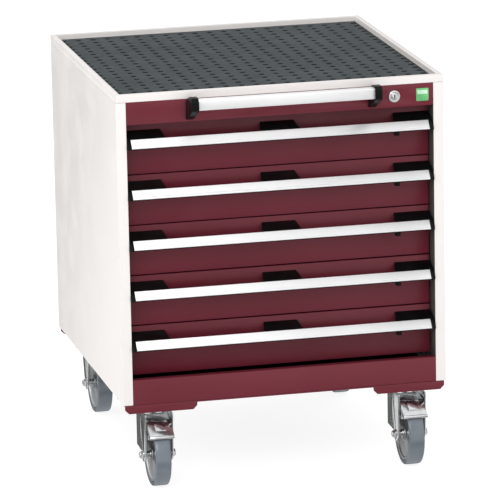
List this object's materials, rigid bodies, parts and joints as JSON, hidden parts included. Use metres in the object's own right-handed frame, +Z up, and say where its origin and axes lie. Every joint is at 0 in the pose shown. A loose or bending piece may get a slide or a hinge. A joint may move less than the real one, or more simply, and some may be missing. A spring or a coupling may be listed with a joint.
{
  "type": "mobile drawer cabinet",
  "caption": "Square steel workshop cabinet with stacked shallow drawers, a rimmed top tray with a rubber mat, a push handle, a lock and braked swivel castors in front.",
  "frame": {"origin": "on the floor, at the middle of the whole footprint, push handle included", "axes": "+X to the right as seen from the drawer side, +Y from the drawers to the back, +Z up"},
  "size_m": [0.65, 0.708, 0.785],
  "materials": {
    "carcass_paint": "light warm grey powder coat, fine texture, semi-matt",
    "front_paint": "maroon red powder coat, fine texture, semi-matt",
    "base_steel": "dark grey coated sheet",
    "runner_steel": "zinc-plated runner sections",
    "castor_zinc": "bright zinc-plated pressed steel",
    "wheel_metal": "pressed wheel centre, satin",
    "tyre_rubber": "non-marking grey rubber, smooth",
    "handle_aluminium": "natural anodised extrusion, satin",
    "black_plastic": "black moulded plastic, fine grain",
    "mat_rubber": "dark slate grey ribbed rubber, matt",
    "lock_chrome": "polished lock metal",
    "badge_green": "plain green badge without any mark"
  },
  "bodies": {
    "root": {"left_side_panel": "carcass_paint", "right_side_panel": "carcass_paint", "back_panel": "carcass_paint", "base_panel": "base_steel", "plinth": "front_paint", "lock_fascia": "front_paint", "top_tray": "carcass_paint", "top_mat": "mat_rubber", "left_runner_frame": "runner_steel", "right_runner_frame": "runner_steel", "push_handle_bracket_left": "black_plastic", "push_handle_bracket_right": "black_plastic", "push_handle_bar": "handle_aluminium", "lock_housing": "lock_chrome", "badge": "badge_green", "front_castor_channel": "front_paint", "rear_castor_channel": "front_paint", "front_left_castor_plate": "castor_zinc", "rear_left_castor_fork": "castor_zinc", "rear_left_castor_axle": "castor_zinc", "front_right_castor_plate": "castor_zinc", "rear_right_castor_fork": "castor_zinc", "rear_right_castor_axle": "castor_zinc"},
    "key": {"key_cylinder": "lock_chrome"},
    "drawer_1": {"drawer_1_box": "front_paint", "drawer_1_handle_carrier": "black_plastic", "drawer_1_handle_strip": "handle_aluminium"},
    "drawer_1_catch": {"drawer_1_catch": "black_plastic"},
    "drawer_2": {"drawer_2_box": "front_paint", "drawer_2_handle_carrier": "black_plastic", "drawer_2_handle_strip": "handle_aluminium"},
    "drawer_2_catch": {"drawer_2_catch": "black_plastic"},
    "drawer_3": {"drawer_3_box": "front_paint", "drawer_3_handle_carrier": "black_plastic", "drawer_3_handle_strip": "handle_aluminium"},
    "drawer_3_catch": {"drawer_3_catch": "black_plastic"},
    "drawer_4": {"drawer_4_box": "front_paint", "drawer_4_handle_carrier": "black_plastic", "drawer_4_handle_strip": "handle_aluminium"},
    "drawer_4_catch": {"drawer_4_catch": "black_plastic"},
    "drawer_5": {"drawer_5_box": "front_paint", "drawer_5_handle_carrier": "black_plastic", "drawer_5_handle_strip": "handle_aluminium"},
    "drawer_5_catch": {"drawer_5_catch": "black_plastic"},
    "front_left_castor": {"front_left_castor_fork": "castor_zinc", "front_left_castor_axle": "castor_zinc"},
    "front_left_castor_wheel": {"front_left_castor_wheel": "wheel_metal", "front_left_castor_tyre": "tyre_rubber"},
    "front_left_castor_pedal": {"front_left_castor_pedal": "castor_zinc"},
    "rear_left_castor_wheel": {"rear_left_castor_wheel": "wheel_metal", "rear_left_castor_tyre": "tyre_rubber"},
    "front_right_castor": {"front_right_castor_fork": "castor_zinc", "front_right_castor_axle": "castor_zinc"},
    "front_right_castor_wheel": {"front_right_castor_wheel": "wheel_metal", "front_right_castor_tyre": "tyre_rubber"},
    "front_right_castor_pedal": {"front_right_castor_pedal": "castor_zinc"},
    "rear_right_castor_wheel": {"rear_right_castor_wheel": "wheel_metal", "rear_right_castor_tyre": "tyre_rubber"}
  },
  "joints": [
    {"name": "key_turn", "type": "hinge", "parent": "root", "child": "key", "pos_m": [0.2262, -0.296, 0.7476], "axis": [0, 1, 0], "range_deg": [0, 90]},
    {"name": "drawer_1_slide", "type": "slide", "parent": "root", "child": "drawer_1", "axis": [0, -1, 0], "range_m": [0, 0.45]},
    {"name": "drawer_1_catch_slide", "type": "slide", "parent": "drawer_1", "child": "drawer_1_catch", "axis": [-1, 0, 0], "range_m": [0, 0.005], "stiffness_N_per_m": 200, "springref_m": -0.003},
    {"name": "drawer_2_slide", "type": "slide", "parent": "root", "child": "drawer_2", "axis": [0, -1, 0], "range_m": [0, 0.45]},
    {"name": "drawer_2_catch_slide", "type": "slide", "parent": "drawer_2", "child": "drawer_2_catch", "axis": [-1, 0, 0], "range_m": [0, 0.005], "stiffness_N_per_m": 200, "springref_m": -0.003},
    {"name": "drawer_3_slide", "type": "slide", "parent": "root", "child": "drawer_3", "axis": [0, -1, 0], "range_m": [0, 0.45]},
    {"name": "drawer_3_catch_slide", "type": "slide", "parent": "drawer_3", "child": "drawer_3_catch", "axis": [-1, 0, 0], "range_m": [0, 0.005], "stiffness_N_per_m": 200, "springref_m": -0.003},
    {"name": "drawer_4_slide", "type": "slide", "parent": "root", "child": "drawer_4", "axis": [0, -1, 0], "range_m": [0, 0.45]},
    {"name": "drawer_4_catch_slide", "type": "slide", "parent": "drawer_4", "child": "drawer_4_catch", "axis": [-1, 0, 0], "range_m": [0, 0.005], "stiffness_N_per_m": 200, "springref_m": -0.003},
    {"name": "drawer_5_slide", "type": "slide", "parent": "root", "child": "drawer_5", "axis": [0, -1, 0], "range_m": [0, 0.45]},
    {"name": "drawer_5_catch_slide", "type": "slide", "parent": "drawer_5", "child": "drawer_5_catch", "axis": [-1, 0, 0], "range_m": [0, 0.005], "stiffness_N_per_m": 200, "springref_m": -0.003},
    {"name": "front_left_swivel", "type": "hinge", "parent": "root", "child": "front_left_castor", "pos_m": [-0.255, -0.236, 0.15], "axis": [0, 0, 1], "continuous": true},
    {"name": "front_left_wheel_spin", "type": "hinge", "parent": "front_left_castor", "child": "front_left_castor_wheel", "pos_m": [-0.255, -0.274, 0.0625], "axis": [1, 0, 0], "continuous": true},
    {"name": "front_left_pedal_hinge", "type": "hinge", "parent": "front_left_castor", "child": "front_left_castor_pedal", "pos_m": [-0.255, -0.25601, 0.12963], "axis": [-1, 0, 0], "range_deg": [0, 12]},
    {"name": "rear_left_wheel_spin", "type": "hinge", "parent": "root", "child": "rear_left_castor_wheel", "pos_m": [-0.255, 0.29, 0.0625], "axis": [1, 0, 0], "continuous": true},
    {"name": "front_right_swivel", "type": "hinge", "parent": "root", "child": "front_right_castor", "pos_m": [0.255, -0.236, 0.15], "axis": [0, 0, 1], "continuous": true},
    {"name": "front_right_wheel_spin", "type": "hinge", "parent": "front_right_castor", "child": "front_right_castor_wheel", "pos_m": [0.255, -0.274, 0.0625], "axis": [1, 0, 0], "continuous": true},
    {"name": "front_right_pedal_hinge", "type": "hinge", "parent": "front_right_castor", "child": "front_right_castor_pedal", "pos_m": [0.255, -0.25601, 0.12963], "axis": [-1, 0, 0], "range_deg": [0, 12]},
    {"name": "rear_right_wheel_spin", "type": "hinge", "parent": "root", "child": "rear_right_castor_wheel", "pos_m": [0.255, 0.29, 0.0625], "axis": [1, 0, 0], "continuous": true}
  ]
}
